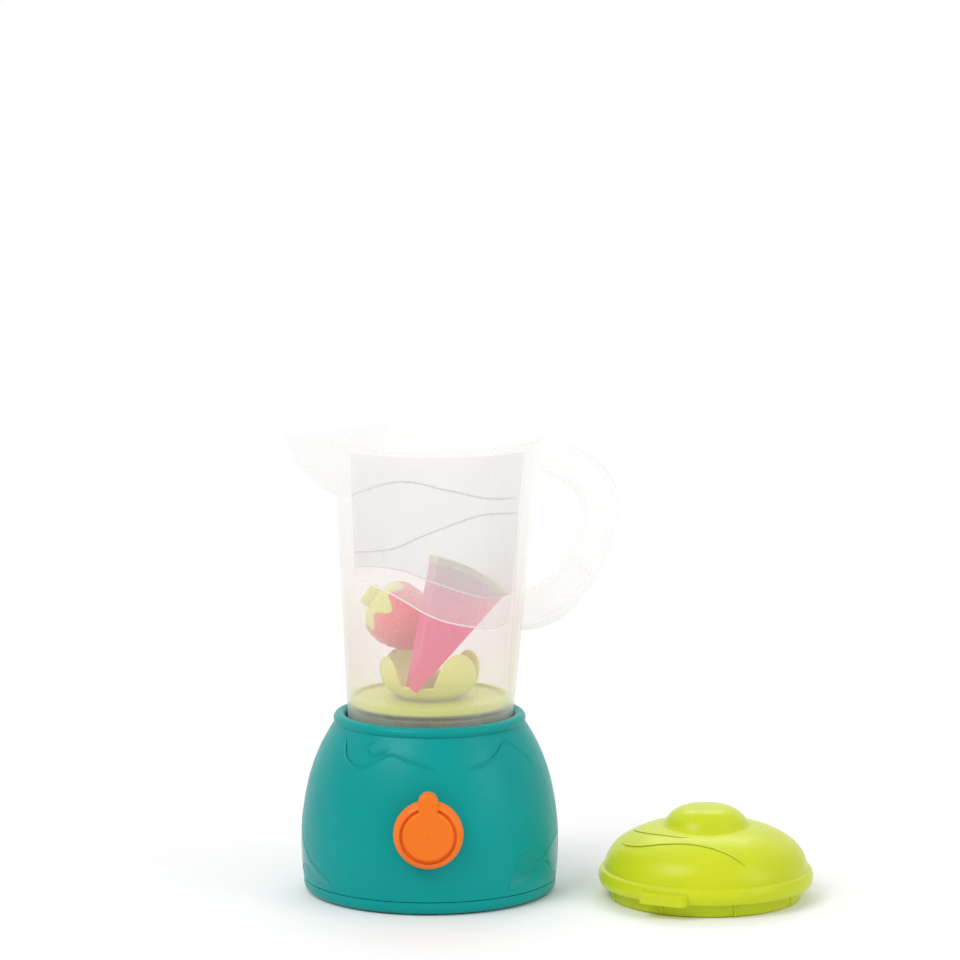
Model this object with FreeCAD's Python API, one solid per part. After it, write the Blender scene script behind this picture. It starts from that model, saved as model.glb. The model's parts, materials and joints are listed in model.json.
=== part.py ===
import FreeCAD, Part
import math
import os

# Toy blender, in millimetres. The origin is on the axis of the base at table height, +Z is up,
# the dial faces -Y, the spout points to -X, and the handle and the loose lid are on the +X side.
os.makedirs("parts", exist_ok=True)

V = FreeCAD.Vector
UP = V(0, 0, 1)
X_AXIS = V(1, 0, 0)
Y_AXIS = V(0, 1, 0)
CENTRE = V(0, 0, 0)

# Clearances and fits
loose_gap = 0.3        # between pieces that pass each other
run_gap = 0.06         # radial, a shaft turning in its bearing
seat_gap = 0.1         # between a piece and the ledge it rests on
overlap = 0.4          # how far one feature sinks into another before they are joined
touch_gap = 0.02       # between pieces that are held together
through = 40.0         # longer than any bore is deep
far_out = 100.0        # further from the axis than any point of the jug

# Base shell, a bell with a rolled collar round its top opening
wall = 2.4
seam_z = 6.0           # where the shell meets the bottom cover
seam_gap = 0.35
base_r = 60.6          # widest, low on the bell
base_wide_z = 22.0
shell_foot_r = 59.5
shell_mid_r = 58.0
shoulder_r = 53.4
web_half = 0.8         # half as thick as the web that holds a screw post
collar_r = 41.6        # middle of the rolled collar
collar_round_r = 2.9
collar_z = 81.7
well_r = 39.4          # opening that takes the jug
well_wall = 1.8

# Deck at the bottom of the well, which the jug stands on
deck_top_z = 69.0
deck_thick = 2.4
deck_r = 47.4
deck_screw_ring_r = 44.4
deck_hole_r = 5.2
deck_boss_h = 12.0
deck_screw_deep = 5.0
deck_ridge_r = 9.4     # low ring round the spindle's hole
deck_ridge_h = 1.0
bush_head_r = 7.6
bush_head_h = 4.6

# Screws, all self-tapping with pan heads
screw_r = 1.4
screw_head_r = 2.7
screw_head_h = 1.8
screw_pilot_r = 1.45
screw_slot_w = 0.8
screw_slot_length = 3.6
cover_screw_length = 11.0
deck_screw_length = 6.0
bracket_screw_length = 6.0
coupler_screw_length = 8.0
boss_r = 3.4

# Bottom cover
cover_foot_r = shell_foot_r - 4.0    # ring that rests on the table
cover_foot_w = 3.0
cover_r = shell_foot_r - 0.1
cover_plate_z = 1.2
cover_thick = 2.2
lip_h = 3.4
lip_wall = 1.6
post_ring_r = shell_foot_r - 7.1
post_top_z = 44.0
cover_post_z = 10.0    # where shell posts meet cover posts
screw_deep = 9.0
band_z = 4.2           # where the foot's round edge meets the upright band
band_in_r = shell_foot_r - 2.5
lip_r = shell_foot_r - 3.0
head_recess = 5.4      # depth of the holes for the cover screws' heads
socket_r = 6.0         # socket that the spindle stands in
socket_top_z = 12.0
pad_h = 5.0            # pads under the bracket

# Dial on the front
dial_z = 39.4
dial_r = 16.1
dial_back_y = -(base_r + 0.4)
dial_thick = 8.6
dial_groove_in = 11.9
dial_groove_out = 13.3
dial_groove_deep = 1.6
dial_hub_r = 5.4
dial_skirt = 3.2       # thickness of the rim round the hollow back
dial_hollow_deep = 2.8
shaft_into_dial = 6.0
dial_round = 1.1       # fall of the rounded rim
tab_w = 9.2
tab_reach = 19.7       # from the dial's centre to the end of the pointer
tab_root = 8.0
tab_back = 1.0
tab_round = 1.6
seat_r = 13.6
seat_front_y = dial_back_y + 0.6
seat_deep = 8.0
bearing_length = 14.0

# Dial shaft and the crown gear that turns the spindle
shaft_r = 2.5
shaft_end_gap = 3.6    # from the shaft's end to the spindle
clip_thick = 1.0
clip_reach = 2.0
clip_groove_deep = 0.5
clip_slot_w = 2.2
bearing_r = 5.2
module = 1.25
pinion_teeth = 10
crown_teeth = 30
backlash = 0.7
crown_face = 3.0
crown_addendum = 1.05
pinion_addendum = 1.06
pressure_angle = 20.0
crown_hub_r = 6.0
crown_hub_h = 5.0
lightening_ring_r = 10.8
lightening_r = 2.6
lightening_count = 4
gear_foot_gap = 0.35
spindle_r = 2.5
spindle_bottom_z = 4.6
pinion_r = module * pinion_teeth / 2
crown_r = module * crown_teeth / 2
pinion_z = dial_z + crown_r
pinion_h = 5.2
pinion_neck = 1.2      # plain length under the teeth
pinion_root_spread = 0.16
pinion_tip_share = 0.42
washer_r = 5.0
washer_h = 1.0
sleeve_r = 4.4
spindle_top_z = 74.4

# Bracket that carries the inner end of the dial shaft
bracket_y = -27.0
bracket_thick = 4.0
bracket_w = 20.0
bracket_foot_w = 34.0
bracket_foot_d = 12.0
bracket_screw_x = 13.4
bracket_foot_h = 3.0
window_r = 5.0
window_drop = 16.0

# Drive fins under the jug and the coupler that they turn
fin_count = 4
fin_thick = 2.2
fin_r = 17.0
dog_hub_r = 5.4
dog_hub_top_z = 75.6
fin_top_z = 80.8
fin_in_r = 7.4
fin_round = 2.4
fin_turn = 20.0        # angle of the first fin
dog_lift = 1.6         # from the deck's top to the dog
dog_plate_h = 1.6
coupler_r = 19.6
coupler_bottom_z = 72.4
coupler_top_z = 84.6
coupler_hub_r = 6.6
coupler_hub_z = 80.6
coupler_plate_h = 2.0
blade_in_r = 8.0
coupler_socket_z = 82.0

# Jug, a cone that leans a little towards the handle
jug_foot_z = deck_top_z + seat_gap
jug_foot_r = 37.8
jug_rim_z = 215.0
jug_rim_r = 48.2
jug_rim_shift = 3.7
jug_wall = 1.5
jug_floor_z = 86.2
jug_floor_thick = 2.2
bell_r = 24.6
bell_bottom_z = 71.0
rim_bead = 1.1
spout_tip_x = -67.6
spout_half_w = 27.0
spout_nose_r = 3.4
spout_low_nose = 0.4   # how much smaller the lowest section's nose is
spout_root_x = -20.0   # where each section starts, inside the jug
spout_cheek_x = -38.0  # where each section starts to close in
spout_cheek_share = 0.93
spout_steps = [(28.5, 23.6, 8.0), (23.0, 15.0, 14.0), (13.6, 6.4, 20.5)]  # down, back, half width
handle_w = 17.0
handle_web = 2.4
handle_skin = 2.6
handle_rib_half = 0.8
pocket_start_x = 52.0
rib_middle_x = 74.0
handle_ribs = [(63.0, 35), (44.0, 0), (27.0, 0)]  # each rib's depth under the rim and its tilt
guide_r = 7.0          # tube round the stem, under the floor

# Spinner disc and the cup of four petals in the middle of it
disc_r = 36.8
disc_z = jug_floor_z + jug_floor_thick + 0.6
disc_thick = 2.4
disc_lip = 1.3
stem_r = 4.5
cup_flange_r = 20.3
cup_flange_thick = 1.5
cup_bulge_r = 23.6
petal_wall = 2.0
petal_low = 18.6
petal_high = 21.0
hub_dome_r = 8.6
hub_dome_h = 12.4
petal_half = 11.6
petal_foot_half = 9.6
disc_rim_w = 1.6

# Loose fruit
slice_thick = 11.4
rind_thick = 3.6
rind_proud = 0.6       # how far the rind stands out past the flesh's faces
slice_r = 66.4
slice_tip_r = 3.0
slice_low = 45.0       # angles of the slice's two straight edges
slice_high = 78.5
slice_turn = 21.0
slice_x = -9.6
slice_y = -19.6
slice_rise = 4.2       # of the slice's corner over the disc
berry_x = -13.2
berry_y = 10.6
berry_rise = 35.8      # of the berry's middle over the disc
berry_swing = -10
berry_lean = -55
leaf_z = 15.8
leaf_r = 9.4
leaf_thick = 1.6
leaf_count = 6
lobe_r = 4.2
plug_r = 6.9
plug_h = 3.4
stalk_r = 3.4
stalk_tip_r = 2.5
stalk_h = 4.6

# Lid lying on the table beside the base
lid_x = 129.6
lid_y = -16.8
lid_skirt_r = 44.4
lid_skirt_h = 6.4
lid_band_r = 50.3
lid_band_top = 14.0
lid_wall = 2.0
lid_tab_angle = -115.3
lid_tab_w = 23.0
lid_tab_reach = 54.6
lid_tab_h = 4.6
lid_tab_round = 3.6
lid_edge = 0.9         # how far the band's edges are rounded in
knob_r = 19.4
knob_top_z = 43.0
skirt_rib_r = 0.8
skirt_rib_count = 8
skirt_rib_first = 15.0


def rod(r, h, at, along=UP):
    return Part.makeCylinder(r, h, at, along)


def block(x0, x1, y0, y1, z0, z1):
    return Part.makeBox(x1 - x0, y1 - y0, z1 - z0, V(x0, y0, z0))


def ring(outer, inner, z0, z1, at=CENTRE):
    high = z1 - z0
    base = V(at.x, at.y, z0)
    return rod(outer, high, base).cut(rod(inner, high, base))


def turned(edges):
    face = Part.Face(Part.Wire(Part.__sortEdges__(edges)))
    return face.revolve(CENTRE, UP, 360)


def line(a, b):
    return Part.makeLine(V(a[0], 0, a[1]), V(b[0], 0, b[1]))


def lines(points):
    pairs = zip(points[:-1], points[1:])
    return [line(a, b) for a, b in pairs]


def curve(points):
    """Arcs through every three points in turn, sharing their ends, so the list has an odd length."""
    arcs = []
    for i in range(0, len(points) - 2, 2):
        spots = [V(x, 0, z) for x, z in points[i:i + 3]]
        arcs.append(Part.Arc(*spots).toShape())
    return arcs


def arc(a, b, c):
    return curve([a, b, c])[0]


def turn(shape, degrees, at=CENTRE, about=UP):
    copy = shape.copy()
    copy.rotate(at, about, degrees)
    return copy


def join(first, others):
    return first.fuse(others).removeSplitter()


def save(shape, node):
    solids = shape.Solids
    result = solids[0] if len(solids) == 1 else Part.makeCompound(solids)
    result.exportStep("parts/" + node + ".step")


def around(r, degrees, z=0.0):
    a = math.radians(degrees)
    return V(r * math.cos(a), r * math.sin(a), z)


# Base shell. The outer curve runs from the seam up to the collar, and the inner one follows it.
shell_foot_z = seam_z + seam_gap
shell_side = [(shell_foot_r, shell_foot_z), (base_r, base_wide_z), (shell_mid_r, 48.0)]
shell_line = shell_side + [(shoulder_r, 63.6), (44.6, collar_z - 1.6)]
inside_line = [(shell_foot_r - wall, shell_foot_z), (base_r - wall, base_wide_z)]
inside_line += [(shell_mid_r - wall, 47.4), (shoulder_r - wall, 62.4), (43.6, collar_z - 4.6)]
well_out = well_r + well_wall
well_foot_z = deck_top_z + seam_gap
shell_edges = curve(shell_line) + curve(inside_line)
shell_edges += lines([(inside_line[0][0], shell_foot_z), (shell_line[0][0], shell_foot_z)])
shell_edges += [arc(shell_line[-1], (collar_r, collar_z + collar_round_r), (well_r, collar_z))]
shell_edges += lines([(well_r, collar_z), (well_r, well_foot_z), (well_out, well_foot_z)])
shell_edges += lines([(well_out, well_foot_z), (well_out, collar_z - 5.0), inside_line[-1]])
shell = turned(shell_edges)

# The shell without its hollow, used to trim what is added inside
shell_solid = turned(curve(shell_line) + lines([shell_line[-1], (0, shell_line[-1][1]),
                                                  (0, shell_foot_z), shell_line[0]]))

post_angles = [45, 135, 225, 315]
posts = []
for angle in post_angles:
    post = rod(boss_r, post_top_z - cover_post_z, around(post_ring_r, angle, cover_post_z))
    web = block(post_ring_r, base_r, -web_half, web_half, cover_post_z, post_top_z)
    posts.append(post.fuse(turn(web, angle)).common(shell_solid))
deck_angles = [30, 150, 270]
deck_bosses = []
for angle in deck_angles:
    boss = rod(boss_r, deck_boss_h, around(deck_screw_ring_r, angle, well_foot_z))
    deck_bosses.append(boss.common(shell_solid))

seat = rod(seat_r, seat_deep, V(0, seat_front_y, dial_z), Y_AXIS)
bearing = rod(bearing_r, bearing_length, V(0, seat_front_y + overlap, dial_z), Y_AXIS)
seat_hollow = rod(seat_r - wall, seat_deep, V(0, seat_front_y + wall, dial_z), Y_AXIS)
shell = join(shell, posts + deck_bosses + [seat])
shell = shell.cut(seat_hollow)
shell = join(shell, [bearing])
shell_bore = rod(shaft_r + run_gap, bearing_length + 2, V(0, seat_front_y - 1, dial_z), Y_AXIS)
shell = shell.cut(shell_bore)
for angle in post_angles:
    shell = shell.cut(rod(screw_pilot_r, screw_deep, around(post_ring_r, angle, cover_post_z)))
for angle in deck_angles:
    spot = around(deck_screw_ring_r, angle, well_foot_z)
    shell = shell.cut(rod(screw_pilot_r, deck_screw_deep, spot))
save(shell, "base_shell")

# Bottom cover with the lower band, a resting ring, a locating lip, posts and the spindle socket
cover_top_z = cover_plate_z + cover_thick
cover_edges = [arc((cover_foot_r, 0), (cover_r - 1.0, 1.3), (cover_r, band_z))]
cover_edges += lines([(cover_r, band_z), (cover_r, seam_z), (band_in_r, seam_z)])
cover_edges += lines([(band_in_r, seam_z), (band_in_r, cover_top_z), (0, cover_top_z)])
cover_edges += [line((0, cover_top_z), (0, cover_plate_z))]
foot_in = cover_foot_r - cover_foot_w
cover_edges += lines([(0, cover_plate_z), (foot_in, cover_plate_z), (foot_in, 0), (cover_foot_r, 0)])
cover = turned(cover_edges)
cover_adds = [ring(lip_r, lip_r - lip_wall, cover_top_z - overlap, seam_z + lip_h)]
for angle in post_angles:
    foot = around(post_ring_r, angle, cover_top_z - overlap)
    cover_adds.append(rod(boss_r, cover_post_z - seam_gap - foot.z, foot))
inside_foot_z = cover_top_z - overlap
cover_adds.append(rod(socket_r, socket_top_z - inside_foot_z, V(0, 0, inside_foot_z)))
for side in (-1, 1):
    pad = V(side * bracket_screw_x, bracket_y, inside_foot_z)
    cover_adds.append(rod(boss_r, pad_h, pad))
cover = join(cover, cover_adds)
for angle in post_angles:
    spot = around(post_ring_r, angle, 0)
    cover = cover.cut(rod(screw_head_r + loose_gap, head_recess, spot))
    cover = cover.cut(rod(screw_r + loose_gap, cover_post_z, spot))
cover = cover.cut(rod(spindle_r + run_gap, socket_top_z, V(0, 0, spindle_bottom_z - seat_gap)))
bracket_foot_z = inside_foot_z + pad_h
for side in (-1, 1):
    spot = V(side * bracket_screw_x, bracket_y, cover_top_z)
    cover = cover.cut(rod(screw_pilot_r, bracket_screw_length, spot))
save(cover, "base_cover")


def pan_screw(length, at, along):
    head = rod(screw_head_r, screw_head_h, at, along)
    shank = rod(screw_r, length + screw_head_h, at, along)
    slot = Part.makeBox(screw_slot_w, screw_slot_length, screw_slot_w)
    slot.translate(V(-screw_slot_w / 2, -screw_slot_length / 2, 0))
    slot.Placement = FreeCAD.Placement(at, FreeCAD.Rotation(UP, along)).multiply(slot.Placement)
    return head.fuse(shank).cut(slot)


cover_screws = []
for angle in post_angles:
    spot = around(post_ring_r, angle, head_recess - screw_head_h)
    cover_screws.append(pan_screw(cover_screw_length, spot, UP))
save(Part.makeCompound(cover_screws), "cover_screws")

# Deck, screwed up against the bosses from below
deck_low_z = deck_top_z - deck_thick
deck = rod(deck_r, deck_thick, V(0, 0, deck_low_z))
deck_ridge = ring(deck_ridge_r, deck_hole_r, deck_top_z - overlap, deck_top_z + deck_ridge_h)
deck = join(deck, [deck_ridge])
deck = deck.cut(rod(deck_hole_r, through, V(0, 0, deck_low_z - 1)))
for angle in deck_angles:
    spot = around(deck_screw_ring_r, angle, deck_low_z - 1)
    deck = deck.cut(rod(screw_r + loose_gap, through, spot))
save(deck, "deck")
deck_screws = []
for angle in deck_angles:
    spot = around(deck_screw_ring_r, angle, deck_low_z - seat_gap - screw_head_h)
    deck_screws.append(pan_screw(deck_screw_length, spot, UP))
save(Part.makeCompound(deck_screws), "deck_screws")

# Bush pressed in the deck, where the spindle comes through
bush_bore = spindle_r + run_gap
bush_low_z = deck_low_z - bush_head_h
bush_top_z = deck_top_z + deck_ridge_h - seat_gap
deck_sleeve = ring(deck_hole_r - touch_gap, bush_bore, bush_low_z, bush_top_z)
deck_sleeve = deck_sleeve.fuse(ring(bush_head_r, bush_bore, bush_low_z, deck_low_z - seat_gap))
save(deck_sleeve.removeSplitter(), "spindle_bush")

# Dial: a soft rim, a groove, a raised middle and a rounded pointer. It is hollow behind.
groove_top = dial_thick - dial_round
groove_floor = groove_top - dial_groove_deep
dial_foot_r = dial_r - 0.9
rim_mid = dial_thick / 2 - 0.6
step_r = dial_groove_in - 2.0
step_z = dial_thick - 0.3
dial_edges = curve([(dial_foot_r, 0), (dial_r, rim_mid), (dial_groove_out, groove_top)])
dial_edges += lines([(dial_groove_out, groove_top), (dial_groove_out, groove_floor)])
dial_edges += lines([(dial_groove_out, groove_floor), (dial_groove_in, groove_floor)])
step_mid = (dial_groove_in - 0.4, groove_top + 0.3)
dial_edges += [arc((dial_groove_in, groove_floor), step_mid, (step_r, step_z))]
dial_edges += lines([(step_r, step_z), (0, dial_thick), (0, 0), (dial_foot_r, 0)])
dial = turned(dial_edges)
tab_length = tab_reach - tab_w / 2
tab_front = dial_thick - 0.2
pointer = block(-tab_w / 2, tab_w / 2, tab_root, tab_length, tab_back, tab_front)
pointer = pointer.fuse(rod(tab_w / 2, tab_front - tab_back, V(0, tab_length, tab_back)))
pointer = pointer.removeSplitter()
front_edges = [e for e in pointer.Edges if e.BoundBox.ZMin > tab_front - 0.1]
soft = [e for e in front_edges if e.BoundBox.YMax > tab_root + 0.5]
pointer = pointer.makeFillet(tab_round, soft)
dial = join(dial, [pointer])
hollow = ring(dial_r - dial_skirt, dial_hub_r, -1, dial_hollow_deep)
dial = dial.cut(hollow)
dial = dial.cut(rod(shaft_r, shaft_into_dial + seat_gap, CENTRE))
to_front = FreeCAD.Placement(V(0, dial_back_y, dial_z), FreeCAD.Rotation(X_AXIS, 90))
dial.Placement = to_front
save(dial, "dial")

# Dial shaft, from the dial through the front bearing and the bracket to the crown gear
shaft_front_y = dial_back_y - shaft_into_dial
shaft_back_y = -spindle_r - shaft_end_gap
dial_shaft = rod(shaft_r, shaft_back_y - shaft_front_y, V(0, shaft_front_y, dial_z), Y_AXIS)
clip_y = seat_front_y + overlap + bearing_length + loose_gap
clip_at = V(0, clip_y, dial_z)
clip_core = rod(shaft_r - clip_groove_deep, clip_thick + seat_gap, clip_at, Y_AXIS)
clip_groove = rod(shaft_r + 1, clip_thick + seat_gap, clip_at, Y_AXIS).cut(clip_core)
dial_shaft = dial_shaft.cut(clip_groove)
save(dial_shaft, "dial_shaft")


def clip(at, along):
    plate = rod(shaft_r + clip_reach, clip_thick, at, along)
    plate = plate.cut(rod(shaft_r - clip_groove_deep + touch_gap, clip_thick, at, along))
    gap = block(0, through, -clip_slot_w / 2, clip_slot_w / 2, -through / 2, through / 2)
    gap.Placement = FreeCAD.Placement(at, FreeCAD.Rotation(UP, along))
    return plate.cut(gap)


save(clip(V(0, clip_y + seat_gap / 2, dial_z), Y_AXIS), "shaft_clip")

# Bracket with the inner bearing
bracket_front = bracket_y - bracket_thick / 2
bracket_back = bracket_y + bracket_thick / 2
upright = block(-bracket_w / 2, bracket_w / 2, bracket_front, bracket_back, bracket_foot_z, dial_z)
upright = upright.fuse(rod(bracket_w / 2, bracket_thick, V(0, bracket_front, dial_z), Y_AXIS))
bracket_base = block(-bracket_foot_w / 2, bracket_foot_w / 2, bracket_y - bracket_foot_d / 2,
                     bracket_y + bracket_foot_d / 2, bracket_foot_z, bracket_foot_z + bracket_foot_h)
bracket = join(upright, [bracket_base])
bracket_bore = rod(shaft_r + run_gap, bracket_thick + 2, V(0, bracket_front - 1, dial_z), Y_AXIS)
bracket = bracket.cut(bracket_bore)
window = rod(window_r, bracket_thick + 2, V(0, bracket_front - 1, dial_z - window_drop), Y_AXIS)
bracket = bracket.cut(window)
for side in (-1, 1):
    spot = V(side * bracket_screw_x, bracket_y, bracket_foot_z - 1)
    bracket = bracket.cut(rod(screw_r + loose_gap, bracket_foot_h + 2, spot))
save(bracket, "gear_bracket")
bracket_screws = []
screw_top_z = bracket_foot_z + bracket_foot_h + screw_head_h + touch_gap
for side in (-1, 1):
    spot = V(side * bracket_screw_x, bracket_y, screw_top_z)
    bracket_screws.append(pan_screw(bracket_screw_length, spot, UP * -1))
save(Part.makeCompound(bracket_screws), "bracket_screws")

# Crown gear. Its teeth point along +Y and get thicker outwards, in step with the circle they stand on.
crown_root_y = -(pinion_r + pinion_addendum + gear_foot_gap)
crown_tip_y = -pinion_r + crown_addendum
tooth_angle = 360.0 / crown_teeth
crown_disc = 3.4
inner_r = crown_r - crown_face / 2
outer_r = crown_r + crown_face / 2


def crown_section(r):
    pitch = 2 * math.pi * r / crown_teeth
    half = (pitch - backlash * r / crown_r) / 4
    slope = math.tan(math.radians(pressure_angle))
    low = crown_root_y - overlap
    root_half = half + (-pinion_r - low) * slope
    tip_half = half - (crown_tip_y + pinion_r) * slope
    points = [V(-root_half, low, r), V(root_half, low, r), V(tip_half, crown_tip_y, r)]
    points += [V(-tip_half, crown_tip_y, r), points[0]]
    return Part.makePolygon(points)


tooth = Part.makeLoft([crown_section(inner_r), crown_section(outer_r)], True, True)
crown_body = rod(outer_r, crown_disc, V(0, crown_root_y - crown_disc, 0), Y_AXIS)
crown_hub_y = crown_root_y - crown_disc - crown_hub_h + overlap
crown_hub = rod(crown_hub_r, crown_hub_h, V(0, crown_hub_y, 0), Y_AXIS)
crown = crown_body.fuse(crown_hub)
teeth = [turn(tooth, i * tooth_angle, CENTRE, Y_AXIS) for i in range(crown_teeth)]
crown = crown.fuse(teeth).removeSplitter()
for i in range(lightening_count):
    hole_angle = 45 + i * 360.0 / lightening_count
    hole = rod(lightening_r, through, around(lightening_ring_r, hole_angle))
    hole.rotate(CENTRE, X_AXIS, 90)
    crown = crown.cut(hole)
crown = crown.cut(rod(shaft_r, through, V(0, -through / 2, 0), Y_AXIS))
crown.translate(V(0, 0, dial_z))
save(crown, "crown_gear")

# Pinion on the spindle, with a space facing each crown tooth at rest
pinion_tip = pinion_r + pinion_addendum
pinion_root = pinion_r - crown_addendum - gear_foot_gap
half_angle = (math.pi * module / 2 - backlash / 2) / 2 / pinion_r


def pinion_tooth():
    root_half = half_angle + pinion_root_spread
    tip_half = half_angle * pinion_tip_share
    inner = pinion_root - overlap
    ends = [(inner, -root_half), (pinion_r, -half_angle), (pinion_tip, -tip_half)]
    ends += [(pinion_tip, tip_half), (pinion_r, half_angle), (inner, root_half)]
    points = [V(r * math.cos(a), r * math.sin(a), 0) for r, a in ends]
    face = Part.Face(Part.makePolygon(points + [points[0]]))
    return face.extrude(V(0, 0, pinion_h))


pinion_low = pinion_z - pinion_h / 2
pinion_first = -90 + 180.0 / pinion_teeth
pinion_step = 360.0 / pinion_teeth
all_teeth = [turn(pinion_tooth(), pinion_first + i * pinion_step) for i in range(pinion_teeth)]
pinion = rod(pinion_root, pinion_h, CENTRE).fuse(all_teeth).removeSplitter()
pinion.translate(V(0, 0, pinion_low))
pinion_collar = rod(pinion_root, pinion_neck + overlap, V(0, 0, pinion_low - pinion_neck))
pinion = pinion.fuse(pinion_collar).removeSplitter()
pinion = pinion.cut(rod(spindle_r, through, V(0, 0, pinion_low - through / 2)))
save(pinion, "spindle_pinion")

# Spindle, standing in the cover's socket and rising through the deck
spindle = rod(spindle_r, spindle_top_z - spindle_bottom_z, V(0, 0, spindle_bottom_z))
save(spindle, "spindle")
washer_z = socket_top_z + touch_gap
washer_top_z = washer_z + washer_h
washer = ring(washer_r, spindle_r, washer_z, washer_top_z)
sleeve = ring(sleeve_r, spindle_r, washer_top_z, pinion_low - pinion_neck)
save(washer, "spindle_washer")
save(sleeve, "spindle_sleeve")

# Drive dog with upright fins, on top of the spindle
dog_low_z = deck_top_z + dog_lift
fin_half = fin_thick / 2
fin_foot_z = dog_low_z + dog_plate_h - overlap
fin_step = 360.0 / fin_count
dog = rod(dog_hub_r, dog_hub_top_z - dog_low_z, V(0, 0, dog_low_z))
dog_adds = [rod(fin_in_r, dog_plate_h, V(0, 0, dog_low_z))]
for i in range(fin_count):
    foot = block(dog_hub_r / 2, fin_r, -fin_half, fin_half, fin_foot_z, dog_hub_top_z)
    fin = block(fin_in_r, fin_r, -fin_half, fin_half, dog_hub_top_z - overlap, fin_top_z)
    fin = foot.fuse(fin).removeSplitter()
    top_edges = [e for e in fin.Edges if e.BoundBox.ZMin > fin_top_z - 0.1]
    nose = [e for e in top_edges if e.BoundBox.XMin > fin_r - 0.1]
    fin = fin.makeFillet(fin_round, nose)
    dog_adds.append(turn(fin, fin_turn + i * fin_step))
dog = join(dog, dog_adds)
dog = dog.cut(rod(spindle_r, spindle_top_z - dog_low_z, V(0, 0, dog_low_z)))
save(dog, "drive_dog")

# Jug. The wall is a cone, turned a little about its foot so that it leans towards the handle.
jug_high = jug_rim_z - jug_foot_z
jug_lean = math.degrees(math.atan2(jug_rim_shift, jug_high))
cone_spare = 6.0
jug_slope = (jug_rim_r - jug_foot_r) / jug_high


def jug_cone(z0, z1, inset):
    low = z0 - cone_spare
    high = z1 + cone_spare
    low_r = jug_foot_r + (low - jug_foot_z) * jug_slope - inset
    high_r = jug_foot_r + (high - jug_foot_z) * jug_slope - inset
    cone = Part.makeCone(low_r, high_r, high - low, V(0, 0, low))
    cone = turn(cone, jug_lean, V(0, 0, jug_foot_z), Y_AXIS)
    return cone.common(block(-far_out, far_out, -far_out, far_out, z0, z1))


jug_outer = jug_cone(jug_foot_z, jug_rim_z, 0)
jug_inner = jug_cone(jug_floor_z + jug_floor_thick, jug_rim_z + 1.0, jug_wall)
jug_under = jug_cone(jug_foot_z - 1.0, jug_floor_z, jug_wall)

# Spout: a boat-shaped horn from a low point on the wall out to a rounded lip


def spout_section(z, reach, half_w, nose):
    root = V(spout_root_x, half_w, z)
    left = V(spout_cheek_x, half_w * spout_cheek_share, z)
    tip_side = V(reach + nose * 0.9, nose, z)
    tip = V(reach, 0, z)
    mirror = [V(p.x, -p.y, p.z) for p in (tip_side, left, root)]
    edges = [Part.makeLine(root, left)]
    edges.append(Part.makeLine(left, tip_side))
    edges.append(Part.Arc(tip_side, tip, mirror[0]).toShape())
    edges.append(Part.makeLine(mirror[0], mirror[1]))
    edges.append(Part.makeLine(mirror[1], mirror[2]))
    edges.append(Part.makeLine(mirror[2], root))
    return Part.Wire(edges)


def spout_horn(inset, top_extra):
    tip_x = spout_tip_x + inset
    nose = spout_nose_r - inset
    noses = [nose - spout_low_nose, nose, nose]
    sections = []
    for (down, back, half_w), size in zip(spout_steps, noses):
        sections.append(spout_section(jug_rim_z - down, tip_x + back, half_w - inset, size))
    sections.append(spout_section(jug_rim_z, tip_x, spout_half_w - inset, nose))
    if top_extra:
        sections.append(spout_section(jug_rim_z + 1.0, tip_x - 0.5, spout_half_w - inset, nose))
    return Part.makeLoft(sections, True, True)


spout_solid = spout_horn(0, False)
spout_hollow = spout_horn(jug_wall, True)

# Handle: an outer and an inner line, filled, then both side faces are recessed leaving a web and ribs
handle_out = [(44.0, 214.6), (63.7, 210.8), (78.2, 203.2), (86.0, 193.0), (86.2, 168.0), (81.6, 155.4)]
handle_out += [(71.9, 141.0), (57.0, 127.6), (40.0, 124.6)]
handle_in = [(40.0, 199.4), (53.5, 198.2), (66.4, 191.6), (71.2, 183.4), (69.9, 170.7), (62.9, 155.2)]
handle_in += [(51.7, 143.6), (46.0, 141.4), (40.0, 140.8)]


def side_shape(edges, y0, y1):
    face = Part.Face(Part.Wire(Part.__sortEdges__(edges)))
    face.translate(V(0, y0, 0))
    return face.extrude(V(0, y1 - y0, 0))


def moved_in(points, amount):
    result = []
    for i, p in enumerate(points):
        a = points[max(i - 1, 0)]
        b = points[min(i + 1, len(points) - 1)]
        dx = b[0] - a[0]
        dz = b[1] - a[1]
        size = math.hypot(dx, dz)
        result.append((p[0] - dz / size * amount, p[1] + dx / size * amount))
    return result


def handle_band(outer_line, inner_line, y0, y1):
    ends = [line(outer_line[0], inner_line[0]), line(outer_line[-1], inner_line[-1])]
    return side_shape(curve(outer_line) + curve(inner_line) + ends, y0, y1)


half_handle = handle_w / 2
handle = handle_band(handle_out, handle_in, -half_handle, half_handle)
handle = handle.removeSplitter()
pocket_out = moved_in(handle_out, -handle_skin)
pocket_in = moved_in(handle_in, handle_skin)
pocket = handle_band(pocket_out, pocket_in, handle_web / 2, half_handle + 1)
keep = block(0, pocket_start_x, -handle_w, handle_w, 0, 2 * jug_rim_z)
rib_slabs = []
for down, tilt in handle_ribs:
    z = jug_rim_z - down
    slab = block(pocket_start_x, far_out, -handle_w, handle_w, z - handle_rib_half, z + handle_rib_half)
    rib_slabs.append(turn(slab, tilt, V(rib_middle_x, 0, z), Y_AXIS))
pocket = pocket.cut(keep)
for slab in rib_slabs:
    pocket = pocket.cut(slab)
far_pocket = pocket.mirror(CENTRE, Y_AXIS)
handle = handle.cut(pocket).cut(far_pocket)


def rim_bead_ring(grown):
    middle = V(jug_rim_shift, 0, jug_rim_z - rim_bead)
    return Part.makeTorus(jug_rim_r - 0.6, rim_bead + grown, middle)


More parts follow.
